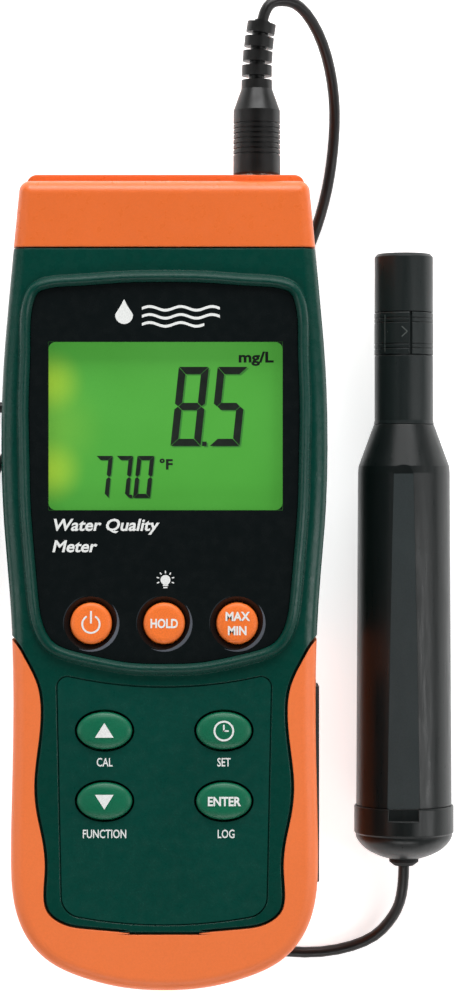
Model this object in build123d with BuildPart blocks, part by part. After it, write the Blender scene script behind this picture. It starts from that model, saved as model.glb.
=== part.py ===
"""Handheld dissolved-oxygen meter with its plug-in probe, lying on a table.

Millimetres, +Z up out of the display, +Y towards the probe socket, +X towards
the probe. The origin is under the middle of the meter and the probe together,
on the surface that they rest on.
"""

import os
from math import cos, hypot, pi, radians, sin, tan

from build123d import *

os.makedirs("parts", exist_ok=True)

# ------------------------------------------------------------ driving dimensions
MX = -15.4                  # meter centre line
PX = MX + 55.85             # probe axis
Z_BACK = 4.0                # back face of the case, above its rubber feet
Z_PART = 24.0               # parting plane between the rear and the front case
Z_FACE = 45.6               # front face of the case
Z_BEAD = 47.5               # crest of the bead round the display panel
Y_TOP = 90.6                # front edge of the socket end
Y_TOP_REAR = 93.3           # rear part of the socket end stands further out
Y_CAP = 75.6                # lower edge of the orange cap
SKIN = 2.4                  # overmould thickness over the core
WALL = 4.4                  # outer face to cavity
CORE_BACK, CORE_FRONT = 6.4, 43.4
CAV_BACK, CAV_FRONT = 8.0, 42.6
CORE_END = 88.2

LEAD_D = 2.6                # lead diameter
SOCKET_X, SOCKET_Z = MX + 21.0, 24.0
AXIS_Z = 11.75              # probe axis height

KEY_TRAVEL = 0.8
ROUND_KEY_R, ROUND_HOLE_R, DISH_R = 4.65, 4.95, 6.1
ROUND_KEYS = [(-16.4, -9.0), (0.0, -9.0), (16.4, -9.0)]
OVAL_KEY = (12.4, 8.35)
OVAL_HOLE = (13.4, 9.5)
OVAL_KEYS = [(-13.4, -33.1), (13.4, -33.1), (-13.4, -48.9), (13.4, -48.9)]
LCD_AT, LCD_SIZE = (0.3, 35.3), (52.6, 37.8)

SCREWS = [(-28, 66), (28, 66), (-27.2, -8), (27.2, -8), (-20, -78), (20, -78)]
FEET = [(-27, 58), (27, 58), (-24, -70.8), (24, -70.8)]
FOOT_R = 3.5
TRIPOD_Y = 66.0
STAND_Y, STAND_Z = 2.0, 6.0   # tilt stand pivot
PORT_X, PORT_Z = 33.8, 36.2   # port cover pivot, from the meter centre line
PORT_Y = (-68.2, -23.8)

OUTLINE = [                 # right half of the case outline, top to bottom
    (32.0, 96.0), (33.6, 80.0), (34.9, 66.0), (36.25, 50.0), (36.8, 32.0),
    (36.25, 14.0), (35.1, 0.0), (34.35, -12.7), (34.1, -30.0), (34.35, -45.0),
    (34.65, -62.0), (34.0, -71.8), (31.6, -79.0), (26.8, -84.8), (18.4, -89.0),
    (9.0, -91.3), (0.0, -91.9),
]
PANEL = [                   # right half of the display panel, top to bottom
    (0.0, 67.5), (10.0, 67.3), (20.0, 66.6), (26.2, 66.0), (28.2, 65.1),
    (29.15, 63.2), (29.9, 53.4), (30.3, 41.0), (30.15, 30.0), (29.8, 16.5),
    (29.0, 6.4), (28.1, -3.7), (27.1, -9.2), (24.9, -13.0), (20.0, -15.2),
    (12.2, -17.0), (0.0, -18.0),
]
BEAD_OUTER = [(Z_FACE - 0.3, 2.72), (Z_FACE + 0.7, 2.55), (Z_FACE + 1.35, 2.2), (Z_FACE + 1.75, 1.75), (Z_BEAD, 1.3)]
BEAD_INNER = [(CAV_FRONT + 1.8, 0.12), (Z_FACE + 0.7, 0.14), (Z_FACE + 1.35, 0.42), (Z_FACE + 1.75, 0.8), (Z_BEAD + 0.01, 1.2)]
GRIP_EDGE = [               # right half of the inner edge of the orange grip
    (40.0, -9.2), (36.6, -11.0), (33.6, -13.4), (31.3, -17.1), (29.5, -20.5),
    (28.3, -23.8), (27.75, -28.9), (28.2, -35.6), (29.0, -42.0), (29.2, -46.0),
    (28.7, -51.6), (27.5, -57.4), (26.85, -64.2), (27.15, -70.0), (26.3, -74.0),
    (23.6, -76.3), (17.0, -77.8), (8.0, -78.8), (0.0, -79.0),
]


# ------------------------------------------------------------------- helpers
def at(z, x=0.0, y=0.0):
    """Plane parallel to the table at height z, on the meter's centre line."""
    return Plane((MX + x, y, z))


def moved_out(points, d):
    """The half outline pushed outwards by d along its own normals."""
    out = []
    for i, (x, y) in enumerate(points):
        x0, y0 = points[max(i - 1, 0)]
        x1, y1 = points[min(i + 1, len(points) - 1)]
        if x == 0.0:
            out.append((0.0, y + d * (1 if i == 0 else -1)))
            continue
        a, b = hypot(x - x0, y - y0) or 1.0, hypot(x1 - x, y1 - y) or 1.0
        tx = (x - x0) / a * b + (x1 - x) / b * a
        ty = (y - y0) / a * b + (y1 - y) / b * a
        n = hypot(tx, ty)
        out.append((x - d * ty / n, y + d * tx / n))
    return out


def case_face(inset=0.0, y_low=-120.0, y_high=120.0):
    """The case outline, moved in by inset, between two heights."""
    points = moved_out(OUTLINE, -inset)
    with BuildSketch() as sk:
        with BuildLine():
            Spline(*points, tangents=[(0.1, -1), (-1, 0)])
            mirror(about=Plane.YZ)
            Line((-points[0][0], points[0][1]), points[0])
        make_face()
        with Locations((0, (y_low + y_high) / 2)):
            Rectangle(120, y_high - y_low, mode=Mode.INTERSECT)
    return sk.sketch


def panel_face(out=0.0):
    """The display panel's outline, moved out by out."""
    with BuildSketch() as sk:
        with BuildLine():
            Spline(*moved_out(PANEL, out), tangents=[(1, 0), (-1, 0)])
            mirror(about=Plane.YZ)
        make_face()
    return sk.sketch


def inside_grip_face(inset=0.0):
    """Everything inside and above the grip's wavy inner edge."""
    points = moved_out(GRIP_EDGE, -inset)
    x, y = points[0]
    with BuildSketch() as sk:
        with BuildLine():
            Polyline((0, 110), (x, 110), (x, y))
            Spline(*points, tangents=[(-1, -0.45), (-1, 0)])
            mirror(about=Plane.YZ)
        make_face()
    return sk.sketch


def overlay_face(out=0.0):
    """The textured keypad area: hollow top edge, slightly tapering sides."""
    with BuildSketch() as sk:
        with BuildLine():
            ThreePointArc((-24.0 - out, -20.5 + out), (0, -23.5 + out), (24.0 + out, -20.5 + out))
            Line((24.0 + out, -20.5 + out), (22.9 + out, -74.1 - out))
            ThreePointArc((22.9 + out, -74.1 - out), (0, -76.6 - out), (-22.9 - out, -74.1 - out))
            Line((-22.9 - out, -74.1 - out), (-24.0 - out, -20.5 + out))
        make_face()
        corners = sk.vertices().sort_by(Axis.Y)
        fillet(corners[:2], 4.5 + out)
        fillet(sk.vertices().sort_by(Axis.Y)[-2:], 2.2 + out)
    return sk.sketch


# ------------------------------------------------- outer form shared by the shells
with BuildPart() as envelope:
    with BuildSketch(at(Z_BACK)):
        add(case_face(0.0, y_high=Y_TOP))
    extrude(amount=Z_FACE - Z_BACK)
    fillet(envelope.edges().filter_by(Axis.Z).sort_by(Axis.Y)[-2:], 2.4)
    fillet(envelope.edges().group_by(Axis.Z)[-1], 3.0)
    fillet(envelope.edges().group_by(Axis.Z)[0], 4.5)

with BuildPart() as core:
    with BuildSketch(at(CORE_BACK)):
        add(case_face(SKIN, y_high=CORE_END))
    extrude(amount=CORE_FRONT - CORE_BACK)
    fillet(core.edges().group_by(Axis.Z)[0], 2.6)
    fillet(core.edges().group_by(Axis.Z)[-1], 1.2)

# ------------------------------------------------------------------ front case
with BuildPart() as front_case:
    add(envelope.part)
    with BuildSketch(at(0)):
        add(inside_grip_face(0.65))
        with Locations((0, Y_CAP - 0.4 - 100)):
            Rectangle(120, 200, mode=Mode.INTERSECT)
    extrude(amount=60, mode=Mode.INTERSECT)
    add(core.part)
    # rounded bead, built up between outlines that close in as they rise
    for z, out in BEAD_OUTER:
        with BuildSketch(at(z)):
            add(panel_face(out))
    loft(ruled=True)
    for z, out in BEAD_INNER:
        with BuildSketch(at(z)):
            add(panel_face(out))
    loft(ruled=True, mode=Mode.SUBTRACT)
    # cavity and parting plane
    with BuildSketch(at(0)):
        add(case_face(WALL, y_high=CORE_END - 2.0))
    extrude(amount=CAV_FRONT, mode=Mode.SUBTRACT)
    with BuildSketch(at(-5)):
        Rectangle(140, 240)
    extrude(amount=5 + Z_PART, mode=Mode.SUBTRACT)
    # screw bosses
    with BuildSketch(at(Z_PART)):
        with Locations(*SCREWS):
            Circle(3.4)
    extrude(amount=CAV_FRONT - Z_PART + 0.4)
    with BuildSketch(at(Z_PART)):
        with Locations(*SCREWS):
            Circle(1.45)
    extrude(amount=16.0, mode=Mode.SUBTRACT)
    # display opening, key holes, overlay recess
    with BuildSketch(at(CAV_FRONT - 1)):
        with Locations(LCD_AT):
            Rectangle(LCD_SIZE[0] + 0.8, LCD_SIZE[1] + 0.8)
        with Locations(*ROUND_KEYS):
            Circle(ROUND_HOLE_R + 0.25)
    extrude(amount=4, mode=Mode.SUBTRACT)
    with BuildSketch(at(Z_FACE - 0.6)):
        add(overlay_face(0.3))
    extrude(amount=3, mode=Mode.SUBTRACT)
    with BuildSketch(at(CAV_FRONT - 1)):
        with Locations(*OVAL_KEYS):
            Ellipse(OVAL_HOLE[0] / 2, OVAL_HOLE[1] / 2)
    extrude(amount=6, mode=Mode.SUBTRACT)
    # socket hole in the end wall, card slot, side opening for the jacks
    with BuildSketch(Plane((SOCKET_X, 80, SOCKET_Z), x_dir=(1, 0, 0), z_dir=(0, 1, 0))):
        Circle(6.8)
    extrude(amount=14, mode=Mode.SUBTRACT)
    with BuildSketch(Plane((MX, -80, 31.0), x_dir=(1, 0, 0), z_dir=(0, -1, 0))):
        Rectangle(25.2, 3.0)
    extrude(amount=16, mode=Mode.SUBTRACT)
    with BuildSketch(Plane((MX + 24, -46, 31.1), x_dir=(0, 1, 0), z_dir=(1, 0, 0))):
        Rectangle(36.0, 10.4)
    extrude(amount=16, mode=Mode.SUBTRACT)
    with BuildSketch(Plane((MX + 32.1, sum(PORT_Y) / 2, 30.4), x_dir=(0, 1, 0), z_dir=(1, 0, 0))):
        Rectangle(PORT_Y[1] - PORT_Y[0] + 0.7, 15.4)
    extrude(amount=6, mode=Mode.SUBTRACT)
front_case.part.label = "front_case"
export_step(front_case.part, "parts/front_case.step")

# ------------------------------------------------------------------- rear case
with BuildPart() as rear_case:
    add(envelope.part)
    with BuildSketch(at(0)):
        add(inside_grip_face(0.65))
        with Locations((0, Y_CAP - 0.4 - 100)):
            Rectangle(120, 200, mode=Mode.INTERSECT)
    extrude(amount=60, mode=Mode.INTERSECT)
    add(core.part)
    with BuildSketch(at(CAV_BACK)):
        add(case_face(WALL, y_high=CORE_END - 2.0))
    extrude(amount=60, mode=Mode.SUBTRACT)
    with BuildSketch(at(Z_PART)):
        Rectangle(140, 240)
    extrude(amount=40, mode=Mode.SUBTRACT)
    # battery compartment, screw and tripod bosses
    with BuildSketch(at(CAV_BACK - 0.5)):
        with Locations((0, -14.0)):
            Rectangle(47.2, 106.8)
    extrude(amount=25.2 - CAV_BACK + 0.5)
    with BuildSketch(at(CAV_BACK - 0.5)):
        with Locations(*SCREWS):
            Circle(3.4)
    extrude(amount=Z_PART - CAV_BACK + 0.5)
    with BuildSketch(at(CAV_BACK - 0.5)):
        with Locations((0, TRIPOD_Y)):
            Circle(7.0)
    extrude(amount=8.5)
    with BuildSketch(at(0)):
        with Locations((0, -14.0)):
            Rectangle(44.8, 104.4)
    extrude(amount=24.0, mode=Mode.SUBTRACT)
    with BuildSketch(at(0)):
        with Locations((0, -14.0)):
            Rectangle(50.4, 106.0)
        with Locations((0, 42.0)):
            RectangleRounded(16.4, 14.4, 3.2)
    extrude(amount=6.4, mode=Mode.SUBTRACT)
    with BuildSketch(at(0)):
        with Locations((0, TRIPOD_Y)):
            Circle(4.6)
    extrude(amount=14.0, mode=Mode.SUBTRACT)
    with BuildSketch(at(0)):
        with Locations(*SCREWS):
            Circle(1.6)
    extrude(amount=30.0, mode=Mode.SUBTRACT)
    with BuildSketch(at(0)):
        with Locations(*SCREWS):
            Circle(2.9)
    extrude(amount=8.6, mode=Mode.SUBTRACT)
    with BuildSketch(at(0)):
        with Locations(*FEET):
            Circle(2.6)
    extrude(amount=5.6, mode=Mode.SUBTRACT)
    with BuildSketch(at(0)):
        with Locations((0, 45.5)):
            Circle(1.5)
    extrude(amount=8.2, mode=Mode.SUBTRACT)
    with BuildSketch(Plane((SOCKET_X, 80, SOCKET_Z), x_dir=(1, 0, 0), z_dir=(0, 1, 0))):
        Circle(6.8)
    extrude(amount=14, mode=Mode.SUBTRACT)
    with BuildSketch(Plane((MX + 32.1, sum(PORT_Y) / 2, 30.4), x_dir=(0, 1, 0), z_dir=(1, 0, 0))):
        Rectangle(PORT_Y[1] - PORT_Y[0] + 0.7, 15.4)
    extrude(amount=6, mode=Mode.SUBTRACT)
rear_case.part.label = "rear_case"
export_step(rear_case.part, "parts/rear_case.step")

# ------------------------------------------------------ orange cap, socket end
with BuildPart() as top_cap:
    add(envelope.part)
    with BuildSketch(at(0)):
        with Locations((0, Y_CAP + 50)):
            Rectangle(120, 100)
    extrude(amount=60, mode=Mode.INTERSECT)
    with BuildSketch(at(Z_BACK + 1.2)):
        with Locations((0, (Y_TOP_REAR + 84) / 2)):
            RectangleRounded(63.8, Y_TOP_REAR - 84, 2.4)
    extrude(amount=26.0)
    with BuildSketch(at(CORE_BACK)):
        add(case_face(SKIN, y_high=CORE_END))
    extrude(amount=CORE_FRONT - CORE_BACK, mode=Mode.SUBTRACT)
    with BuildSketch(Plane((SOCKET_X, 80, SOCKET_Z), x_dir=(1, 0, 0), z_dir=(0, 1, 0))):
        Circle(5.85)
    extrude(amount=20, mode=Mode.SUBTRACT)
top_cap.part.label = "top_cap"
export_step(top_cap.part, "parts/top_cap.step")

# ------------------------------------------------------------------ orange grip
with BuildPart() as grip:
    add(envelope.part)
    with BuildSketch(at(0)):
        with Locations((0, -60)):
            Rectangle(120, 120)
        add(inside_grip_face(0.0), mode=Mode.SUBTRACT)
    extrude(amount=60, mode=Mode.INTERSECT)
    add(core.part, mode=Mode.SUBTRACT)
    with BuildSketch(Plane((MX, -80, 31.0), x_dir=(1, 0, 0), z_dir=(0, -1, 0))):
        Rectangle(25.2, 3.0)
    extrude(amount=16, mode=Mode.SUBTRACT)
    with BuildSketch(Plane((MX + 31.5, sum(PORT_Y) / 2, 30.4), x_dir=(0, 1, 0), z_dir=(1, 0, 0))):
        Rectangle(PORT_Y[1] - PORT_Y[0] + 0.7, 15.4)
    extrude(amount=6, mode=Mode.SUBTRACT)
    with BuildSketch(Plane((MX + PORT_X, PORT_Y[0] - 1.8, PORT_Z), x_dir=(1, 0, 0), z_dir=(0, 1, 0))):
        Circle(0.62)
    extrude(amount=PORT_Y[1] - PORT_Y[0] + 3.6, mode=Mode.SUBTRACT)
grip.part.label = "grip"
export_step(grip.part, "parts/grip.step")

# ------------------------------------------------- display panel, window and LCD
with BuildPart() as display_panel:
    with BuildSketch(at(CAV_FRONT + 1.8)):
        add(panel_face(0.0))
    extrude(amount=1.6)
    with BuildSketch(at(CAV_FRONT + 1.8)):
        with Locations(LCD_AT):
            Rectangle(*LCD_SIZE)
        with Locations(*ROUND_KEYS):
            Circle(ROUND_HOLE_R)
    extrude(amount=3, mode=Mode.SUBTRACT)
    chamfer(
        display_panel.edges().filter_by(GeomType.CIRCLE).group_by(Axis.Z)[-1],
        length=1.1,
        length2=DISH_R - ROUND_HOLE_R,
    )
display_panel.part.label = "display_panel"
export_step(display_panel.part, "parts/display_panel.step")

with BuildPart() as display_window:
    with BuildSketch(at(CAV_FRONT + 1.8)):
        with Locations(LCD_AT):
            Rectangle(LCD_SIZE[0] - 0.1, LCD_SIZE[1] - 0.1)
    extrude(amount=1.45)
display_window.part.label = "display_window"
export_step(display_window.part, "parts/display_window.step")

with BuildPart() as lcd_panel:
    with BuildSketch(at(40.3)):
        with Locations(LCD_AT):
            Rectangle(57.0, 42.0)
    extrude(amount=2.1)
lcd_panel.part.label = "lcd_panel"
export_step(lcd_panel.part, "parts/lcd_panel.step")

with BuildPart() as backlight:
    with BuildSketch(at(38.4)):
        with Locations(LCD_AT):
            Rectangle(56.4, 40.4)
    extrude(amount=1.8)
backlight.part.label = "backlight"
export_step(backlight.part, "parts/backlight.step")

# ------------------------------------------------------------- keypad and keys
with BuildPart() as keypad_overlay:
    with BuildSketch(at(Z_FACE - 0.6)):
        add(overlay_face(0.0))
        with Locations(*OVAL_KEYS):
            Ellipse(OVAL_HOLE[0] / 2, OVAL_HOLE[1] / 2, mode=Mode.SUBTRACT)
    extrude(amount=0.55)
keypad_overlay.part.label = "keypad_overlay"
export_step(keypad_overlay.part, "parts/keypad_overlay.step")

with BuildPart() as keypad_mat:
    with BuildSketch(at(38.9)):
        with Locations((0, -28.5)):
            RectangleRounded(44.0, 57.0, 3.0)
    extrude(amount=1.2)
    with BuildSketch(at(40.1)):
        with Locations(*ROUND_KEYS):
            Circle(3.4)
        with Locations(*OVAL_KEYS):
            Ellipse(4.6, 3.0)
    extrude(amount=0.5)
keypad_mat.part.label = "keypad_mat"
export_step(keypad_mat.part, "parts/keypad_mat.step")

with BuildPart() as key_power:
    with BuildSketch(at(41.5, *ROUND_KEYS[0])):
        Circle(5.9)
    extrude(amount=0.8)
    with BuildSketch(at(42.0, *ROUND_KEYS[0])):
        Circle(ROUND_KEY_R)
    extrude(amount=4.7)
    fillet(key_power.edges().group_by(Axis.Z)[-1], 0.9)
key_power.part.label = "key_power"
export_step(key_power.part, "parts/key_power.step")

with BuildPart() as key_hold:
    with BuildSketch(at(41.5, *ROUND_KEYS[1])):
        Circle(5.9)
    extrude(amount=0.8)
    with BuildSketch(at(42.0, *ROUND_KEYS[1])):
        Circle(ROUND_KEY_R)
    extrude(amount=4.7)
    fillet(key_hold.edges().group_by(Axis.Z)[-1], 0.9)
key_hold.part.label = "key_hold"
export_step(key_hold.part, "parts/key_hold.step")

with BuildPart() as key_max_min:
    with BuildSketch(at(41.5, *ROUND_KEYS[2])):
        Circle(5.9)
    extrude(amount=0.8)
    with BuildSketch(at(42.0, *ROUND_KEYS[2])):
        Circle(ROUND_KEY_R)
    extrude(amount=4.7)
    fillet(key_max_min.edges().group_by(Axis.Z)[-1], 0.9)
key_max_min.part.label = "key_max_min"
export_step(key_max_min.part, "parts/key_max_min.step")

with BuildPart() as key_up:
    with BuildSketch(at(41.5, *OVAL_KEYS[0])):
        Ellipse(7.6, 5.6)
    extrude(amount=0.8)
    with BuildSketch(at(42.0, *OVAL_KEYS[0])):
        Ellipse(OVAL_KEY[0] / 2, OVAL_KEY[1] / 2)
    extrude(amount=4.6)
    fillet(key_up.edges().group_by(Axis.Z)[-1], 0.8)
key_up.part.label = "key_up"
export_step(key_up.part, "parts/key_up.step")

with BuildPart() as key_set:
    with BuildSketch(at(41.5, *OVAL_KEYS[1])):
        Ellipse(7.6, 5.6)
    extrude(amount=0.8)
    with BuildSketch(at(42.0, *OVAL_KEYS[1])):
        Ellipse(OVAL_KEY[0] / 2, OVAL_KEY[1] / 2)
    extrude(amount=4.6)
    fillet(key_set.edges().group_by(Axis.Z)[-1], 0.8)
key_set.part.label = "key_set"
export_step(key_set.part, "parts/key_set.step")

with BuildPart() as key_down:
    with BuildSketch(at(41.5, *OVAL_KEYS[2])):
        Ellipse(7.6, 5.6)
    extrude(amount=0.8)
    with BuildSketch(at(42.0, *OVAL_KEYS[2])):
        Ellipse(OVAL_KEY[0] / 2, OVAL_KEY[1] / 2)
    extrude(amount=4.6)
    fillet(key_down.edges().group_by(Axis.Z)[-1], 0.8)
key_down.part.label = "key_down"
export_step(key_down.part, "parts/key_down.step")

with BuildPart() as key_enter:
    with BuildSketch(at(41.5, *OVAL_KEYS[3])):
        Ellipse(7.6, 5.6)
    extrude(amount=0.8)
    with BuildSketch(at(42.0, *OVAL_KEYS[3])):
        Ellipse(OVAL_KEY[0] / 2, OVAL_KEY[1] / 2)
    extrude(amount=4.6)
    fillet(key_enter.edges().group_by(Axis.Z)[-1], 0.8)
key_enter.part.label = "key_enter"
export_step(key_enter.part, "parts/key_enter.step")

# -------------------------------------------------------------------- electronics
with BuildPart() as main_board:
    with BuildSketch(at(36.2)):
        with Locations((0, -2.0)):
            Rectangle(46.4, 136.0)
        with Locations((0, 68.0)):
            Circle(4.0, mode=Mode.SUBTRACT)
    extrude(amount=1.6)
    with BuildSketch(at(37.8)):
        with Locations(*ROUND_KEYS):
            Circle(2.6)
        with Locations(*OVAL_KEYS):
            Circle(2.6)
    extrude(amount=0.4)
    with BuildSketch(at(34.4)):
        with Locations((-8, 46)):
            Rectangle(14, 14)
        with Locations((9, 20)):
            Rectangle(9, 6)
        with Locations((-12, -6)):
            Rectangle(6, 9)
    extrude(amount=1.8)
main_board.part.label = "main_board"
export_step(main_board.part, "parts/main_board.step")

with BuildPart() as dc_jack:
    with BuildSketch(at(26.4, 25.2, -36.0)):
        Rectangle(13.0, 9.0)
    extrude(amount=9.6)
    with BuildSketch(Plane((MX + 31.8, -36.0, 30.8), x_dir=(0, 1, 0), z_dir=(-1, 0, 0))):
        Circle(2.75)
        Circle(1.0, mode=Mode.SUBTRACT)
    extrude(amount=10.0, mode=Mode.SUBTRACT)
dc_jack.part.label = "dc_jack"
export_step(dc_jack.part, "parts/dc_jack.step")

with BuildPart() as data_jack:
    with BuildSketch(at(27.4, 25.2, -56.0)):
        Rectangle(13.0, 7.0)
    extrude(amount=8.6)
    with BuildSketch(Plane((MX + 31.8, -56.0, 30.8), x_dir=(0, 1, 0), z_dir=(-1, 0, 0))):
        Circle(1.8)
    extrude(amount=12.0, mode=Mode.SUBTRACT)
data_jack.part.label = "data_jack"
export_step(data_jack.part, "parts/data_jack.step")

with BuildPart() as reset_button:
    with BuildSketch(Plane((MX + 27.0, -46.0, 30.8), x_dir=(0, 1, 0), z_dir=(1, 0, 0))):
        Rectangle(4.0, 4.0)
    extrude(amount=1.2)
    with BuildSketch(Plane((MX + 28.0, -46.0, 30.8), x_dir=(0, 1, 0), z_dir=(1, 0, 0))):
        Circle(1.4)
    extrude(amount=3.4)
reset_button.part.label = "reset_button"
export_step(reset_button.part, "parts/reset_button.step")

with BuildPart() as reset_switch:
    with BuildSketch(at(27.6, 22.8, -46.0)):
        Rectangle(6.0, 6.6)
    extrude(amount=8.4)
reset_switch.part.label = "reset_switch"
export_step(reset_switch.part, "parts/reset_switch.step")

with BuildPart() as card_socket:
    with BuildSketch(at(28.4)):
        with Locations((0, -70.6)):
            Rectangle(27.4, 26.8)
    extrude(amount=5.2)
    with BuildSketch(at(29.65)):
        with Locations((0, -72.0)):
            Rectangle(24.5, 27.4)
    extrude(amount=2.7, mode=Mode.SUBTRACT)
card_socket.part.label = "card_socket"
export_step(card_socket.part, "parts/card_socket.step")

with BuildPart() as memory_card:
    with BuildSketch(at(29.95)):
        with Locations((0, -75.0)):
            Rectangle(24.0, 32.0)
        with BuildLine(mode=Mode.PRIVATE) as notch:
            Polyline((12.0, -59.0), (8.0, -59.0), (12.0, -63.0), close=True)
        make_face(notch.line, mode=Mode.SUBTRACT)
    extrude(amount=2.1)
memory_card.part.label = "memory_card"
export_step(memory_card.part, "parts/memory_card.step")

# ------------------------------------------------------------------- power supply
with BuildPart() as cells:
    with BuildSketch(Plane((MX, -63.3, 16.7), x_dir=(1, 0, 0), z_dir=(0, -1, 0)).offset(-49.0)):
        with Locations((-14.6, 0), (0, 0), (14.6, 0)):
            Circle(7.1)
    extrude(amount=49.0)
    with BuildSketch(Plane((MX, -13.2, 16.7), x_dir=(1, 0, 0), z_dir=(0, -1, 0)).offset(-49.0)):
        with Locations((-14.6, 0), (0, 0), (14.6, 0)):
            Circle(7.1)
    extrude(amount=49.0)
    fillet(cells.edges().filter_by(GeomType.CIRCLE), 0.5)
cells.part.label = "cells"
export_step(cells.part, "parts/cells.step")

with BuildPart() as battery_contacts:
    with BuildSketch(Plane((MX, 38.1, 16.7), x_dir=(1, 0, 0), z_dir=(0, -1, 0))):
        with Locations((-14.6, 0), (0, 0), (14.6, 0)):
            Rectangle(11.0, 10.0)
    extrude(amount=0.5)
    with BuildSketch(Plane((MX, 37.6, 16.7), x_dir=(1, 0, 0), z_dir=(0, -1, 0))):
        with Locations((-14.6, 0), (0, 0), (14.6, 0)):
            Circle(3.4)
            Circle(2.4, mode=Mode.SUBTRACT)
    extrude(amount=1.7)
    with BuildSketch(Plane((MX, -66.1, 16.7), x_dir=(1, 0, 0), z_dir=(0, 1, 0))):
        with Locations((-14.6, 0), (0, 0), (14.6, 0)):
            Rectangle(11.0, 10.0)
    extrude(amount=0.5)
    with BuildSketch(Plane((MX, -65.6, 16.7), x_dir=(1, 0, 0), z_dir=(0, 1, 0))):
        with Locations((-14.6, 0), (0, 0), (14.6, 0)):
            Circle(3.4)
            Circle(2.4, mode=Mode.SUBTRACT)
    extrude(amount=2.2)
battery_contacts.part.label = "battery_contacts"
export_step(battery_contacts.part, "parts/battery_contacts.step")

with BuildPart() as battery_cover:
    with BuildSketch(at(4.25)):
        with Locations((0, -14.0)):
            RectangleRounded(50.0, 105.6, 1.2)
        with Locations((0, 42.0)):
            RectangleRounded(16.0, 14.0, 3.0)
    extrude(amount=2.0)
    with BuildSketch(at(6.0)):
        with Locations((0, -26.0)):
            Rectangle(32.4, 64.0)
    extrude(amount=3.1)
    with BuildSketch(at(3.0)):
        with Locations((0, -26.0)):
            Rectangle(29.4, 61.0)
    extrude(amount=4.9, mode=Mode.SUBTRACT)
    with BuildSketch(Plane((MX - 16.2, STAND_Y, STAND_Z), x_dir=(0, 1, 0), z_dir=(1, 0, 0))):
        Circle(0.82)
    extrude(amount=32.4, mode=Mode.SUBTRACT)
    with BuildSketch(at(0)):
        with Locations((0, 45.5)):
            Circle(1.6)
    extrude(amount=10, mode=Mode.SUBTRACT)
battery_cover.part.label = "battery_cover"
export_step(battery_cover.part, "parts/battery_cover.step")

# ------------------------------------------------------------------- back fittings
with BuildPart() as stand_pin:
    with BuildSketch(Plane((MX - 16.0, STAND_Y, STAND_Z), x_dir=(0, 1, 0), z_dir=(1, 0, 0))):
        Circle(0.8)
    extrude(amount=32.0)
stand_pin.part.label = "stand_pin"
export_step(stand_pin.part, "parts/stand_pin.step")

with BuildPart() as tilt_stand:
    with BuildSketch(at(4.5)):
        with Locations((0, -26.2)):
            Rectangle(28.4, 56.4)
    extrude(amount=2.7)
    fillet(tilt_stand.edges().filter_by(Axis.Z).sort_by(Axis.Y)[:2], 4.0)
    with BuildSketch(Plane((MX - 14.2, STAND_Y, STAND_Z), x_dir=(0, 1, 0), z_dir=(1, 0, 0))):
        Circle(1.6)
    extrude(amount=28.4)
    with BuildSketch(at(0)):
        with Locations((0, -47.5)):
            SlotOverall(13.0, 5.0)
    extrude(amount=20, mode=Mode.SUBTRACT)
    with BuildSketch(Plane((MX - 15.0, STAND_Y, STAND_Z), x_dir=(0, 1, 0), z_dir=(1, 0, 0))):
        Circle(0.86)
    extrude(amount=30.0, mode=Mode.SUBTRACT)
tilt_stand.part.label = "tilt_stand"
export_step(tilt_stand.part, "parts/tilt_stand.step")

with BuildPart() as tripod_insert:
    with BuildSketch(at(4.2)):
        with Locations((0, TRIPOD_Y)):
            Circle(4.55)
            Circle(3.175, mode=Mode.SUBTRACT)
    extrude(amount=8.0)
    with BuildSketch(at(12.2)):
        with Locations((0, TRIPOD_Y)):
            Circle(4.55)
    extrude(amount=1.6)
tripod_insert.part.label = "tripod_insert"
export_step(tripod_insert.part, "parts/tripod_insert.step")

with BuildPart() as rubber_feet:
    with BuildSketch(at(0.0)):
        with Locations(*FEET):
            Circle(FOOT_R)
    extrude(amount=Z_BACK)
    fillet(rubber_feet.edges().group_by(Axis.Z)[0], 0.9)
    with BuildSketch(at(Z_BACK - 0.2)):
        with Locations(*FEET):
            Circle(2.5)
    extrude(amount=1.7)
rubber_feet.part.label = "rubber_feet"
export_step(rubber_feet.part, "parts/rubber_feet.step")

with BuildPart() as case_screws:
    with BuildSketch(at(6.4)):
        with Locations(*SCREWS):
            Circle(2.75)
    extrude(amount=2.1)
    with BuildSketch(at(8.4)):
        with Locations(*SCREWS):
            Circle(1.4)
    extrude(amount=29.0)
    with BuildSketch(at(6.4)):
        with Locations(*SCREWS):
            Rectangle(3.0, 0.7)
            Rectangle(0.7, 3.0)
    extrude(amount=1.0, mode=Mode.SUBTRACT)
case_screws.part.label = "case_screws"
export_step(case_screws.part, "parts/case_screws.step")

with BuildPart() as cover_screw:
    with BuildSketch(at(2.4, 0, 45.5)):
        Circle(2.6)
    extrude(amount=1.8)
    fillet(cover_screw.edges().group_by(Axis.Z)[0], 0.7)
    with BuildSketch(at(4.2, 0, 45.5)):
        Circle(1.45)
    extrude(amount=3.6)
    with BuildSketch(at(2.4, 0, 45.5)):
        Rectangle(3.0, 0.7)
        Rectangle(0.7, 3.0)
    extrude(amount=0.9, mode=Mode.SUBTRACT)
cover_screw.part.label = "cover_screw"
export_step(cover_screw.part, "parts/cover_screw.step")

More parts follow.
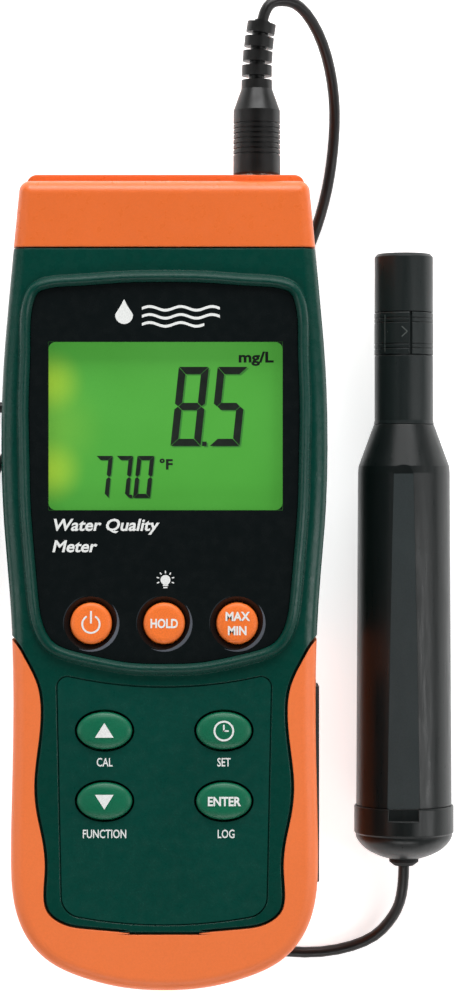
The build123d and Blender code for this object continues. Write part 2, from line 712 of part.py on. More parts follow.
# ------------------------------------------------------------------- side port cover
with BuildPart() as port_cover:
    with BuildSketch(Plane((MX + PORT_X, PORT_Y[0], PORT_Z), x_dir=(1, 0, 0), z_dir=(0, 1, 0))):
        with Locations((0, 6.6)):
            Rectangle(2.6, 13.2)
        Circle(1.3)
    extrude(amount=PORT_Y[1] - PORT_Y[0])
    with BuildSketch(Plane((MX + PORT_X, PORT_Y[0] - 1, PORT_Z), x_dir=(1, 0, 0), z_dir=(0, 1, 0))):
        Circle(0.68)
    extrude(amount=PORT_Y[1] - PORT_Y[0] + 2, mode=Mode.SUBTRACT)
port_cover.part.label = "port_cover"
export_step(port_cover.part, "parts/port_cover.step")

with BuildPart() as port_pin:
    with BuildSketch(Plane((MX + PORT_X, PORT_Y[0] - 1.6, PORT_Z), x_dir=(1, 0, 0), z_dir=(0, 1, 0))):
        Circle(0.6)
    extrude(amount=PORT_Y[1] - PORT_Y[0] + 3.2)
port_pin.part.label = "port_pin"
export_step(port_pin.part, "parts/port_pin.step")

# ----------------------------------------------------------- probe socket and plug
SOCKET_AXIS = Axis((SOCKET_X, 0, SOCKET_Z), (0, 1, 0))
SOCKET_PLANE = Plane((SOCKET_X, 0, SOCKET_Z))
PIN_CIRCLE = 2.3

with BuildPart() as probe_socket:
    with BuildSketch(SOCKET_PLANE):
        with BuildLine():
            Polyline(
                (0, 82.4), (6.6, 82.4), (6.6, 88.1), (5.75, 88.1), (5.75, 92.7), (4.55, 92.7),
                (4.55, 84.6), (3.7, 84.6), (3.7, 91.9), (0, 91.9), close=True,
            )
        make_face()
    revolve(axis=SOCKET_AXIS)
    with BuildSketch(Plane((SOCKET_X, 85.8, SOCKET_Z), x_dir=(1, 0, 0), z_dir=(0, 1, 0))):
        with PolarLocations(PIN_CIRCLE, 5, start_angle=18):
            Circle(0.6)
    extrude(amount=8, mode=Mode.SUBTRACT)
probe_socket.part.label = "probe_socket"
export_step(probe_socket.part, "parts/probe_socket.step")

with BuildPart() as plug_shell:
    with BuildSketch(SOCKET_PLANE):
        with BuildLine():
            Polyline((3.85, 85.2), (4.49, 85.2), (4.49, 95.2), (3.85, 95.2), close=True)
        make_face()
    revolve(axis=SOCKET_AXIS)
plug_shell.part.label = "plug_shell"
export_step(plug_shell.part, "parts/plug_shell.step")

with BuildPart() as plug_pins:
    with BuildSketch(Plane((SOCKET_X, 86.6, SOCKET_Z), x_dir=(1, 0, 0), z_dir=(0, 1, 0))):
        with PolarLocations(PIN_CIRCLE, 5, start_angle=18):
            Circle(0.5)
    extrude(amount=9.0)
plug_pins.part.label = "plug_pins"
export_step(plug_pins.part, "parts/plug_pins.step")

RIB_Y = [98.7 + 1.18 * i for i in range(7)]
with BuildPart() as plug_body:
    with BuildSketch(SOCKET_PLANE):
        with BuildLine():
            Polyline(
                (0, 93.9), (5.3, 93.9), (5.45, 94.3), (5.4, 108.9), (3.6, 113.9), (3.55, 116.0),
                (0, 116.0), close=True,
            )
        make_face()
        for y in RIB_Y:
            with Locations((5.4, y)):
                Rectangle(0.9, 0.42, mode=Mode.SUBTRACT)
    revolve(axis=SOCKET_AXIS)
    with BuildSketch(SOCKET_PLANE):
        with BuildLine():
            Polyline((3.85, 93.0), (4.49, 93.0), (4.49, 95.2), (3.85, 95.2), close=True)
        make_face()
    revolve(axis=SOCKET_AXIS, mode=Mode.SUBTRACT)
    with BuildSketch(Plane((SOCKET_X, 93.0, SOCKET_Z), x_dir=(1, 0, 0), z_dir=(0, 1, 0))):
        with PolarLocations(PIN_CIRCLE, 5, start_angle=18):
            Circle(0.5)
    extrude(amount=2.6, mode=Mode.SUBTRACT)
plug_body.part.label = "plug_body"
export_step(plug_body.part, "parts/plug_body.step")

# strain relief: a slim core on a gentle arc, with four thick rings
RELIEF_R, RELIEF_LEN = 72.8, 13.93
relief_c = (SOCKET_X + RELIEF_R, 116.0)


def relief_at(s):
    """Plane across the strain relief at arc length s from the plug body."""
    a = s / RELIEF_R
    return Plane(
        (relief_c[0] - RELIEF_R * cos(a), relief_c[1] + RELIEF_R * sin(a), SOCKET_Z),
        x_dir=(cos(a), -sin(a), 0),
        z_dir=(sin(a), cos(a), 0),
    )


with BuildPart() as strain_relief:
    with BuildSketch(Plane((SOCKET_X, 116.0, SOCKET_Z), x_dir=(1, 0, 0), z_dir=(0, 1, 0))):
        Circle(1.8)
    revolve(
        axis=Axis((relief_c[0], relief_c[1], 0), (0, 0, -1)),
        revolution_arc=RELIEF_LEN / RELIEF_R * 180 / pi,
    )
    for i in range(4):
        with BuildSketch(relief_at(0.95 + i * 3.32)):
            Circle(3.5 - 0.06 * i)
        extrude(amount=2.42)
strain_relief.part.label = "strain_relief"
export_step(strain_relief.part, "parts/strain_relief.step")

# ------------------------------------------------------------------------- the probe
PROBE_AXIS = Axis((PX, 0, AXIS_Z), (0, 1, 0))
PROBE_PLANE = Plane((PX, 0, AXIS_Z))

with BuildPart() as probe_body:
    with BuildSketch(PROBE_PLANE):
        with BuildLine():
            Polyline(
                (7.1, 36.4), (10.7, 26.6), (10.83, 25.0), (11.25, -53.2), (9.6, -53.2), (9.6, -51.0),
                (8.8, -51.0), (8.6, 24.0), (5.6, 33.0), (5.6, 36.4), close=True,
            )
        make_face()
    revolve(axis=PROBE_AXIS)
    with BuildSketch(
        Plane((PX - 0.7, 27.4, AXIS_Z + 10.57), x_dir=(0, -1, 0), z_dir=(-0.064, 0, 0.998))
    ):
        with Locations((41.0, 0)):
            Rectangle(82.0, 12.0)
    extrude(amount=3, mode=Mode.SUBTRACT)
probe_body.part.label = "probe_body"
export_step(probe_body.part, "parts/probe_body.step")

with BuildPart() as probe_end_cap:
    with BuildSketch(PROBE_PLANE):
        with BuildLine():
            Polyline((3.5, -63.0), (8.2, -57.0), (8.2, -51.2), (9.5, -51.2), (9.5, -53.3), (11.6, -53.3), (11.72, -53.6), (11.72, -59.6))
            Polyline((11.72, -59.6), (11.4, -60.0))
            Spline((11.4, -60.0), (10.75, -61.8), (9.5, -63.2), (7.9, -64.3), (5.7, -65.3), (3.5, -65.95), tangents=[(0, -1), (-0.95, -0.25)])
            Line((3.5, -65.95), (3.5, -63.0))
        make_face()
    revolve(axis=PROBE_AXIS)
    with BuildSketch(Plane((PX - 0.7, -53.0, AXIS_Z + 10.57), x_dir=(0, -1, 0), z_dir=(-0.064, 0, 0.998))):
        with Locations((1.5, 0)):
            Rectangle(3.4, 7.0)
    extrude(amount=3, mode=Mode.SUBTRACT)
probe_end_cap.part.label = "probe_end_cap"
export_step(probe_end_cap.part, "parts/probe_end_cap.step")

with BuildPart() as lead_gland:
    with BuildSketch(PROBE_PLANE):
        with BuildLine():
            Polyline((1.32, -62.0), (3.45, -62.0), (3.45, -66.7), (2.3, -67.6), (1.32, -67.6), close=True)
        make_face()
    revolve(axis=PROBE_AXIS)
lead_gland.part.label = "lead_gland"
export_step(lead_gland.part, "parts/lead_gland.step")

with BuildPart() as preamp_board:
    with BuildSketch(Plane((PX, -12.0, AXIS_Z - 0.8))):
        Rectangle(13.0, 58.0)
    extrude(amount=1.6)
    with BuildSketch(Plane((PX, -4.0, AXIS_Z + 0.8))):
        Rectangle(7.0, 9.0)
    extrude(amount=1.6)
preamp_board.part.label = "preamp_board"
export_step(preamp_board.part, "parts/preamp_board.step")

with BuildPart() as sensor_neck:
    with BuildSketch(PROBE_PLANE):
        with BuildLine():
            Polyline(
                (4.3, 28.0), (5.5, 28.0), (5.5, 36.5), (7.1, 36.5), (6.9, 37.4), (6.9, 52.6),
                (5.3, 52.6), (5.3, 64.6), (4.3, 64.6), close=True,
            )
        make_face()
    revolve(axis=PROBE_AXIS)
sensor_neck.part.label = "sensor_neck"
export_step(sensor_neck.part, "parts/sensor_neck.step")

with BuildPart() as lock_ring:
    with BuildSketch(PROBE_PLANE):
        with BuildLine():
            Polyline((5.36, 52.8), (6.85, 52.8), (6.95, 52.95), (6.95, 62.55), (6.85, 62.7), (5.36, 62.7), close=True)
        make_face()
        for y in (54.3, 55.3, 60.4, 61.4):
            with Locations((7.0, y)):
                Rectangle(0.4, 0.22, mode=Mode.SUBTRACT)
    revolve(axis=PROBE_AXIS)
    with BuildSketch(Plane((PX + 1.25, 57.75, AXIS_Z + 6.2), x_dir=(1, 0, 0), z_dir=(0, 0, 1))):
        Rectangle(0.55, 10.4)
    extrude(amount=3, mode=Mode.SUBTRACT)
lock_ring.part.label = "lock_ring"
export_step(lock_ring.part, "parts/lock_ring.step")

with BuildPart() as sensor_head:
    with BuildSketch(PROBE_PLANE):
        with BuildLine():
            Polyline(
                (5.35, 62.9), (6.9, 62.9), (6.9, 75.9), (6.3, 76.6), (4.2, 76.6), (4.2, 75.4),
                (5.35, 74.6), close=True,
            )
        make_face()
    revolve(axis=PROBE_AXIS)
sensor_head.part.label = "sensor_head"
export_step(sensor_head.part, "parts/sensor_head.step")

with BuildPart() as membrane_cap:
    with BuildSketch(PROBE_PLANE):
        with BuildLine():
            Polyline(
                (3.5, 65.0), (5.25, 65.0), (5.25, 74.3), (4.0, 75.6), (1.9, 75.6), (1.9, 74.6),
                (3.5, 74.0), close=True,
            )
        make_face()
    revolve(axis=PROBE_AXIS)
membrane_cap.part.label = "membrane_cap"
export_step(membrane_cap.part, "parts/membrane_cap.step")

with BuildPart() as membrane:
    with BuildSketch(PROBE_PLANE):
        with BuildLine():
            Polyline((0, 74.9), (1.85, 74.9), (1.85, 75.2), (0, 75.2), close=True)
        make_face()
    revolve(axis=PROBE_AXIS)
membrane.part.label = "membrane"
export_step(membrane.part, "parts/membrane.step")

with BuildPart() as anode:
    with BuildSketch(PROBE_PLANE):
        with BuildLine():
            Polyline((0.85, 50.0), (3.2, 50.0), (3.2, 72.5), (0.85, 72.5), close=True)
        make_face()
    revolve(axis=PROBE_AXIS)
anode.part.label = "anode"
export_step(anode.part, "parts/anode.step")

with BuildPart() as cathode:
    with BuildSketch(PROBE_PLANE):
        with BuildLine():
            Polyline((0, 46.0), (0.8, 46.0), (0.8, 73.0), (1.6, 73.6), (1.6, 74.7), (0, 74.7), close=True)
        make_face()
    revolve(axis=PROBE_AXIS)
cathode.part.label = "cathode"
export_step(cathode.part, "parts/cathode.step")

with BuildPart() as seal_rings:
    with BuildSketch(PROBE_PLANE):
        with Locations((3.8, 49.0)):
            Circle(0.45)
        with Locations((3.8, 31.0)):
            Circle(0.45)
    revolve(axis=PROBE_AXIS)
seal_rings.part.label = "seal_rings"
export_step(seal_rings.part, "parts/seal_rings.step")

with BuildPart() as thermistor:
    with BuildSketch(PROBE_PLANE):
        with BuildLine():
            Polyline((0, 36.0), (1.9, 36.0), (1.9, 43.0), (1.2, 45.4), (0, 45.4), close=True)
        make_face()
    revolve(axis=PROBE_AXIS)
thermistor.part.label = "thermistor"
export_step(thermistor.part, "parts/thermistor.step")

# ---------------------------------------------------------------------------- lead
LEAD_UPPER = [              # from the strain relief, over, down to the table and under the meter
    (22.34, 129.85, 24.0), (22.9, 132.6, 24.0), (25.3, 134.8, 23.6), (31.2, 134.6, 20.4), (36.9, 126.6, 14.2), (39.9, 114.4, 6.6),
    (39.6, 102.0, 1.6), (37.6, 90.0, 1.35), (33.4, 77.5, 1.32), (24.8, 66.6, 1.31), (11.0, 56.0, 1.3), (-5.5, 47.0, 1.32),
    (-23.0, 41.6, 1.3), (-41.0, 40.4, 1.35), (-55.0, 42.4, 1.7), (-67.5, 40.4, 1.9),
]
LEAD_LOWER = [              # from the coil, under the meter and round to the probe's tail
    (-77.6, -2.6, 14.6), (-68.0, -8.0, 13.6), (-56.4, -5.2, 10.6), (-47.2, 3.0, 6.4), (-42.8, 13.6, 2.6), (-43.0, 25.0, 1.4),
    (-35.2, 32.6, 1.31), (-25.2, 28.0, 1.3),
    (-21.4, 16.0, 1.3), (-20.9, 0.0, 1.31), (-22.2, -18.0, 1.3), (-21.6, -38.0, 1.31), (-17.0, -58.0, 1.3), (-5.0, -76.0, 1.31),
    (14.0, -87.2, 1.3), (33.0, -90.6, 1.31), (48.0, -87.6, 1.5), (54.2, -80.4, 5.6), (55.9, -73.4, 10.4), (55.85, -67.6, 11.75),
]
COIL_AT = (-68.5, 18.0)
COIL_LAYERS, COIL_COLUMNS = 6, 6
COIL_MID_R = 16.6
COIL_Z = 0.6


def lead_path(points, name):
    """Straight runs joined by tangent arcs, each as large as its two runs allow."""
    p = [Vector(x + MX, y, z) for x, y, z in points]
    radii = []
    for a, b, c in zip(p, p[1:], p[2:]):
        turn = radians((b - a).get_angle(c - b))
        radii.append(0.45 * min((b - a).length, (c - b).length) / tan(turn / 2))
    print(name, "radii", [round(r, 1) for r in radii])
    print(name, "runs", [round((b - a).length, 1) for a, b in zip(p, p[1:])])
    return p, radii


upper_points, upper_radii = lead_path(LEAD_UPPER, "lead_upper")
with BuildPart() as lead_upper:
    with BuildLine() as upper_line:
        FilletPolyline(*upper_points, radius=upper_radii)
    with BuildSketch(Plane(upper_points[0], z_dir=upper_points[1] - upper_points[0])):
        Circle(LEAD_D / 2)
    sweep(path=upper_line.line)
print("lead_upper", lead_upper.part.volume, sum(e.length for e in upper_line.edges()) * pi * LEAD_D**2 / 4, "length", sum(e.length for e in upper_line.edges()))
lead_upper.part.label = "lead_upper"
export_step(lead_upper.part, "parts/lead_upper.step")

lower_points, lower_radii = lead_path(LEAD_LOWER, "lead_lower")
with BuildPart() as lead_lower:
    with BuildLine() as lower_line:
        FilletPolyline(*lower_points, radius=lower_radii)
    with BuildSketch(Plane(lower_points[0], z_dir=lower_points[1] - lower_points[0])):
        Circle(LEAD_D / 2)
    sweep(path=lower_line.line)
print("lead_lower", lead_lower.part.volume, sum(e.length for e in lower_line.edges()) * pi * LEAD_D**2 / 4, "length", sum(e.length for e in lower_line.edges()))
lead_lower.part.label = "lead_lower"
export_step(lead_lower.part, "parts/lead_lower.step")

with BuildPart() as lead_coil:
    with BuildSketch(Plane((MX + COIL_AT[0], COIL_AT[1], COIL_Z), x_dir=(1, 0, 0), z_dir=(0, -1, 0))):
        with Locations((COIL_MID_R, COIL_LAYERS * LEAD_D / 2)):
            RectangleRounded(COIL_COLUMNS * LEAD_D, COIL_LAYERS * LEAD_D, 1.25)
    revolve(axis=Axis((MX + COIL_AT[0], COIL_AT[1], 0), (0, 0, 1)))
lead_coil.part.label = "lead_coil"
export_step(lead_coil.part, "parts/lead_coil.step")

with BuildPart() as coil_tie:
    with BuildSketch(Plane((MX + COIL_AT[0], COIL_AT[1] - 2.5, COIL_Z), x_dir=(1, 0, 0), z_dir=(0, -1, 0)).offset(-5)):
        with Locations((-COIL_MID_R, COIL_LAYERS * LEAD_D / 2)):
            RectangleRounded(COIL_COLUMNS * LEAD_D + 2.3, COIL_LAYERS * LEAD_D + 1.1, 1.3)
            RectangleRounded(COIL_COLUMNS * LEAD_D + 1.2, COIL_LAYERS * LEAD_D + 0.1, 0.7, mode=Mode.SUBTRACT)
    extrude(amount=5)
coil_tie.part.label = "coil_tie"
export_step(coil_tie.part, "parts/coil_tie.step")
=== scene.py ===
"""Looks of the handheld dissolved-oxygen meter, its lead and its probe."""
import math

import bmesh
import bpy
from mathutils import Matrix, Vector


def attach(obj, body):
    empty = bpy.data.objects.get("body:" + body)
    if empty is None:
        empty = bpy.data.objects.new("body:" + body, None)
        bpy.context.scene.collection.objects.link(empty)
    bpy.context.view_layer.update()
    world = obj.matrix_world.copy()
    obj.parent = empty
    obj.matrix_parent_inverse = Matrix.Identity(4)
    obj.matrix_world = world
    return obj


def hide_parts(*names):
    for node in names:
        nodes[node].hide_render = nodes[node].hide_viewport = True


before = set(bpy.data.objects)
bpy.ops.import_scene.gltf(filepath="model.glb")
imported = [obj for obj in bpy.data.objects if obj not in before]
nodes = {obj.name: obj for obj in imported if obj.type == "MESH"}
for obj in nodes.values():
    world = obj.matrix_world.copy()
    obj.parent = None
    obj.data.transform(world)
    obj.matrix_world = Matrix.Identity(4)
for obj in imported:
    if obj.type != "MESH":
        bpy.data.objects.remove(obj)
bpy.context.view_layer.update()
scene = bpy.context.scene
scene.view_settings.view_transform = "Standard"

MM = 0.001
MX = -15.4                      # meter centre line, mm
PX = MX + 55.85                 # probe axis, mm
AXIS_Z = 11.75
FACE = 45.6


# ------------------------------------------------------------------ camera
cam_data = bpy.data.cameras.new("camera")
cam = bpy.data.objects.new("camera", cam_data)
scene.collection.objects.link(cam)
cam.location = ((14.33 + MX) * MM, 19.7 * MM, 0.700)
cam.rotation_euler = (0, 0, math.radians(0.0))
cam_data.sensor_width = 36.0
cam_data.lens = 105.86
cam_data.clip_start, cam_data.clip_end = 0.05, 5.0
scene.camera = cam


# --------------------------------------------------------------- materials
def srgb(r, g, b):
    out = []
    for v in (r, g, b):
        v /= 255.0
        out.append(v / 12.92 if v <= 0.04045 else ((v + 0.055) / 1.055) ** 2.4)
    return (*out, 1.0)


def shade(c, f):
    return (c[0] * f, c[1] * f, c[2] * f, 1.0)


def new_material(name):
    m = bpy.data.materials.new(name)
    m.use_nodes = True
    tree = m.node_tree
    bsdf = tree.nodes["Principled BSDF"]
    coords = tree.nodes.new("ShaderNodeTexCoord")
    return m, tree, bsdf, coords


def noise(tree, coords, scale, detail=3.0, rough=0.5, stretch=None):
    n = tree.nodes.new("ShaderNodeTexNoise")
    n.inputs["Scale"].default_value = scale
    n.inputs["Detail"].default_value = detail
    n.inputs["Roughness"].default_value = rough
    if stretch:
        mapping = tree.nodes.new("ShaderNodeMapping")
        mapping.inputs["Scale"].default_value = stretch
        tree.links.new(coords.outputs["Object"], mapping.inputs["Vector"])
        tree.links.new(mapping.outputs["Vector"], n.inputs["Vector"])
    else:
        tree.links.new(coords.outputs["Object"], n.inputs["Vector"])
    return n


def ramp(tree, source, stops):
    r = tree.nodes.new("ShaderNodeValToRGB")
    r.color_ramp.elements[0].position, r.color_ramp.elements[0].color = stops[0]
    r.color_ramp.elements[1].position, r.color_ramp.elements[1].color = stops[-1]
    for pos, col in stops[1:-1]:
        e = r.color_ramp.elements.new(pos)
        e.color = col
    tree.links.new(source, r.inputs["Fac"])
    return r


def map_range(tree, source, a, b, lo, hi):
    n = tree.nodes.new("ShaderNodeMapRange")
    n.inputs["From Min"].default_value, n.inputs["From Max"].default_value = a, b
    n.inputs["To Min"].default_value, n.inputs["To Max"].default_value = lo, hi
    tree.links.new(source, n.inputs["Value"])
    return n


def moulded(name, color, rough=0.5, grain=3500, bump=0.15, depth=0.00004, mottle=0.12, speck_or_glint=None, coat=0.0,
            spec=0.5, scratch=0.0, edge=0.0, grit=0.35):
    """Moulded plastic or rubber: mottled colour, spark-eroded grain, uneven gloss, optional lighter flecks (real ones,
    or painted glints) and scuffs.
    """
    m, tree, bsdf, coords = new_material(name)
    big = noise(tree, coords, 55, 4, 0.6)
    fine = noise(tree, coords, grain, 3, 0.6)
    mid = noise(tree, coords, 420, 4, 0.55)
    col = ramp(tree, big.outputs["Fac"], [(0.3, shade(color, 1 - mottle)), (0.7, shade(color, 1 + mottle))])
    out = col.outputs["Color"]
    mix = tree.nodes.new("ShaderNodeMix")
    mix.data_type, mix.blend_type = "RGBA", "MULTIPLY"
    mix.inputs["Factor"].default_value = grit
    grain_col = ramp(tree, fine.outputs["Fac"], [(0.32, (0.62, 0.62, 0.62, 1)), (0.62, (1.12, 1.12, 1.12, 1))])
    tree.links.new(out, mix.inputs["A"])
    tree.links.new(grain_col.outputs["Color"], mix.inputs["B"])
    out = mix.outputs["Result"]
    # lighter flecks: real colour on the board, painted glints standing for sparkle on the keypad overlay
    if speck_or_glint:
        v = tree.nodes.new("ShaderNodeTexVoronoi")
        v.inputs["Scale"].default_value = speck_or_glint[0]
        tree.links.new(coords.outputs["Object"], v.inputs["Vector"])
        dots = map_range(tree, v.outputs["Distance"], 0.10, 0.22, 1.0, 0.0)
        pick = map_range(tree, mid.outputs["Fac"], 0.48, 0.60, 0.0, speck_or_glint[2])
        amount = tree.nodes.new("ShaderNodeMath")
        amount.operation = "MULTIPLY"
        tree.links.new(dots.outputs["Result"], amount.inputs[0])
        tree.links.new(pick.outputs["Result"], amount.inputs[1])
        mix2 = tree.nodes.new("ShaderNodeMix")
        mix2.data_type = "RGBA"
        mix2.inputs["B"].default_value = speck_or_glint[1]
        tree.links.new(amount.outputs["Value"], mix2.inputs["Factor"])
        tree.links.new(out, mix2.inputs["A"])
        out = mix2.outputs["Result"]
    tree.links.new(out, bsdf.inputs["Base Color"])
    height = fine.outputs["Fac"]
    if scratch:
        lines = noise(tree, coords, 90, 6, 0.7, stretch=(14.0, 1.0, 9.0))
        add = tree.nodes.new("ShaderNodeMath")
        add.operation = "MULTIPLY_ADD"
        add.inputs[1].default_value = scratch
        tree.links.new(lines.outputs["Fac"], add.inputs[0])
        tree.links.new(fine.outputs["Fac"], add.inputs[2])
        height = add.outputs["Value"]
        r = map_range(tree, lines.outputs["Fac"], 0.3, 0.7, rough - 0.08, rough + 0.1)
    else:
        r = map_range(tree, mid.outputs["Fac"], 0.3, 0.7, rough - 0.05, rough + 0.07)
    tree.links.new(r.outputs["Result"], bsdf.inputs["Roughness"])
    b = tree.nodes.new("ShaderNodeBump")
    b.inputs["Strength"].default_value = bump
    b.inputs["Distance"].default_value = depth
    tree.links.new(height, b.inputs["Height"])
    tree.links.new(b.outputs["Normal"], bsdf.inputs["Normal"])
    if edge:
        soft = tree.nodes.new("ShaderNodeBevel")
        soft.samples = 4
        soft.inputs["Radius"].default_value = edge
        tree.links.new(soft.outputs["Normal"], b.inputs["Normal"])
    bsdf.inputs["Specular IOR Level"].default_value = spec
    bsdf.inputs["Coat Weight"].default_value = coat
    return m


def metal(name, color, rough=0.3, brushed=(1.0, 1.0, 1.0)):
    m, tree, bsdf, coords = new_material(name)
    n = noise(tree, coords, 900, 4, 0.6, stretch=brushed)
    big = noise(tree, coords, 150, 3, 0.5)
    col = ramp(tree, big.outputs["Fac"], [(0.3, shade(color, 0.85)), (0.7, shade(color, 1.08))])
    tree.links.new(col.outputs["Color"], bsdf.inputs["Base Color"])
    r = map_range(tree, n.outputs["Fac"], 0.3, 0.7, rough - 0.08, rough + 0.12)
    tree.links.new(r.outputs["Result"], bsdf.inputs["Roughness"])
    b = tree.nodes.new("ShaderNodeBump")
    b.inputs["Strength"].default_value = 0.2
    b.inputs["Distance"].default_value = 0.00002
    tree.links.new(n.outputs["Fac"], b.inputs["Height"])
    tree.links.new(b.outputs["Normal"], bsdf.inputs["Normal"])
    bsdf.inputs["Metallic"].default_value = 1.0
    return m


GREEN = srgb(3, 60, 50)
ORANGE = srgb(233, 112, 52)
GRIP_ORANGE = srgb(244, 124, 66)

mats = {
    "green_plastic": moulded("green_plastic", GREEN, 0.27, 2600, 0.16, 0.00003, 0.05, spec=0.28, edge=0.0004),
    # Painted glints: the lighter flecks on the keypad overlay stand for the sparkle of its grain.
    "green_overlay": moulded("green_overlay", srgb(3, 64, 54), 0.32, 2200, 0.4, 0.00004, 0.08,
                             speck_or_glint=(2600, srgb(40, 112, 96), 0.40), spec=0.30),
    "cap_orange": moulded("cap_orange", ORANGE, 0.30, 2600, 0.10, 0.00003, 0.02, spec=0.45, edge=0.0006, grit=0.10),
    "grip_orange": moulded("grip_orange", GRIP_ORANGE, 0.40, 2400, 0.16, 0.00003, 0.02, spec=0.35, edge=0.0004, grit=0.10),
    "panel_black": moulded("panel_black", srgb(13, 19, 20), 0.24, 3000, 0.06, 0.00001, 0.02, spec=0.3),
    "key_orange": moulded("key_orange", srgb(250, 122, 48), 0.45, 3000, 0.2, 0.00003, 0.04, spec=0.4),
    "key_green": moulded("key_green", srgb(0, 104, 72), 0.42, 3000, 0.2, 0.00003, 0.06, spec=0.45),
    "probe_black": moulded("probe_black", srgb(30, 36, 36), 0.34, 2800, 0.18, 0.00003, 0.10, spec=0.30, scratch=0.3, edge=0.0003),
    "plug_black": moulded("plug_black", srgb(15, 16, 16), 0.36, 2800, 0.25, 0.00004, 0.15, spec=0.42),
    "rubber_black": moulded("rubber_black", srgb(22, 22, 22), 0.7, 2200, 0.4, 0.00005, 0.2, spec=0.4),
    "lead_black": moulded("lead_black", srgb(17, 15, 15), 0.40, 2400, 0.25, 0.00003, 0.18, spec=0.42),
    "silicone": moulded("silicone", srgb(150, 155, 152), 0.6, 1800, 0.3, 0.00004, 0.08),
    "board": moulded("board", srgb(18, 92, 50), 0.35, 1600, 0.3, 0.00004, 0.15, speck_or_glint=(420, srgb(180, 150, 70), 0.6)),
    "card_blue": moulded("card_blue", srgb(30, 60, 130), 0.4, 2000, 0.2, 0.00003, 0.08),
    "guide": moulded("guide", srgb(170, 215, 150), 0.3, 1500, 0.2, 0.00003, 0.05),
    "membrane": moulded("membrane", srgb(205, 210, 212), 0.25, 1500, 0.2, 0.00002, 0.05),
    "cell": moulded("cell", srgb(95, 98, 104), 0.35, 1500, 0.15, 0.00002, 0.2, spec=0.6),
    "steel": metal("steel", srgb(190, 190, 188), 0.32),
    "brass": metal("brass", srgb(214, 172, 96), 0.3),
    "nickel": metal("nickel", srgb(205, 203, 198), 0.22, (1, 12, 1)),
    "gold": metal("gold", srgb(232, 190, 100), 0.22),
    "print_white": moulded("print_white", srgb(238, 240, 238), 0.5, 3000, 0.2, 0.00002, 0.03),
    "legend_dark": moulded("legend_dark", srgb(2, 20, 7), 0.5, 3000, 0.1, 0.00002, 0.05),
    # Painted highlight colours for the round-key dishes: grey for the lit lower-right slope, a fainter grey for the
    # upper-left edge.
    "painted_highlight_grey": moulded("painted_highlight_grey", srgb(86, 90, 98), 0.4, 3000, 0.1, 0.00002, 0.2, spec=0.3),
    "painted_highlight_faint": moulded("painted_highlight_faint", srgb(38, 42, 46), 0.4, 3000, 0.1, 0.00002, 0.2, spec=0.3),
    # Painted shade: a darker copy of the probe's black plastic for the barrel, so that it reads darker than the head,
    # which keeps the lighter copy.
    "probe_barrel_shaded": moulded("probe_barrel_shaded", srgb(19, 24, 24), 0.33, 2800, 0.18, 0.00003, 0.12, spec=0.36, scratch=0.35, edge=0.0003),
    # Painted sheen: the flat face's lighter grey stands for the light it reflects; its roughness and scratches are its
    # own.
    "facet_painted_sheen": moulded("facet_painted_sheen", srgb(50, 57, 58), 0.5, 2800, 0.15, 0.00002, 0.10, spec=0.3, scratch=0.5),
    "mark_grey": moulded("mark_grey", srgb(84, 90, 88), 0.45, 3000, 0.2, 0.00002, 0.08),
}


def lcd_material():
    """Backlit green cell: even glow, two warm spots at the left edge, faint pixel mottle."""
    m, tree, bsdf, coords = new_material("lcd_green")
    base = noise(tree, coords, 30, 2, 0.5)
    fine = noise(tree, coords, 5200, 2, 0.5)
    col = ramp(tree, base.outputs["Fac"], [(0.35, srgb(80, 168, 62)), (0.65, srgb(88, 176, 70))])
    out = col.outputs["Color"]
    for cx, cy, r, strength in ((-25.6, 45.2, 8.5, 0.62), (-25.6, 25.3, 8.5, 0.62), (-26.0, 35.0, 14.0, 0.16)):
        d = tree.nodes.new("ShaderNodeVectorMath")
        d.operation = "DISTANCE"
        d.inputs[1].default_value = ((cx + MX) * MM, cy * MM, 42.4 * MM)
        tree.links.new(coords.outputs["Object"], d.inputs[0])
        f = map_range(tree, d.outputs["Value"], 0.0, r * MM, strength, 0.0)
        f.interpolation_type = "SMOOTHSTEP"
        mix = tree.nodes.new("ShaderNodeMix")
        mix.data_type = "RGBA"
        mix.inputs["B"].default_value = srgb(190, 225, 62)
        tree.links.new(f.outputs["Result"], mix.inputs["Factor"])
        tree.links.new(out, mix.inputs["A"])
        out = mix.outputs["Result"]
    grain = tree.nodes.new("ShaderNodeMix")
    grain.data_type, grain.blend_type = "RGBA", "MULTIPLY"
    grain.inputs["Factor"].default_value = 0.25
    g = ramp(tree, fine.outputs["Fac"], [(0.3, (0.85, 0.85, 0.85, 1)), (0.7, (1.1, 1.1, 1.1, 1))])
    tree.links.new(out, grain.inputs["A"])
    tree.links.new(g.outputs["Color"], grain.inputs["B"])
    dim = tree.nodes.new("ShaderNodeMix")
    dim.data_type, dim.blend_type = "RGBA", "MULTIPLY"
    dim.inputs["Factor"].default_value = 1.0
    dim.inputs["B"].default_value = (0.55, 0.55, 0.55, 1)
    tree.links.new(grain.outputs["Result"], dim.inputs["A"])
    tree.links.new(dim.outputs["Result"], bsdf.inputs["Base Color"])
    tree.links.new(grain.outputs["Result"], bsdf.inputs["Emission Color"])
    bsdf.inputs["Emission Strength"].default_value = 0.52
    bsdf.inputs["Roughness"].default_value = 0.35
    bsdf.inputs["Specular IOR Level"].default_value = 0.3
    return m


def window_material():
    m, tree, bsdf, coords = new_material("window_clear")
    n = noise(tree, coords, 300, 3, 0.5)
    r = map_range(tree, n.outputs["Fac"], 0.3, 0.7, 0.04, 0.10)
    tree.links.new(r.outputs["Result"], bsdf.inputs["Roughness"])
    bsdf.inputs["Base Color"].default_value = (0.01, 0.02, 0.012, 1)
    bsdf.inputs["Alpha"].default_value = 0.025
    bsdf.inputs["Specular IOR Level"].default_value = 0.3
    return m


mats["lcd_green"] = lcd_material()
mats["window_clear"] = window_material()
# Painted shadow colour for the offset copies of the LCD segments.
mats["lcd_painted_shadow"] = moulded("lcd_painted_shadow", srgb(58, 138, 50), 0.5, 3000, 0.1, 0.00002, 0.04)

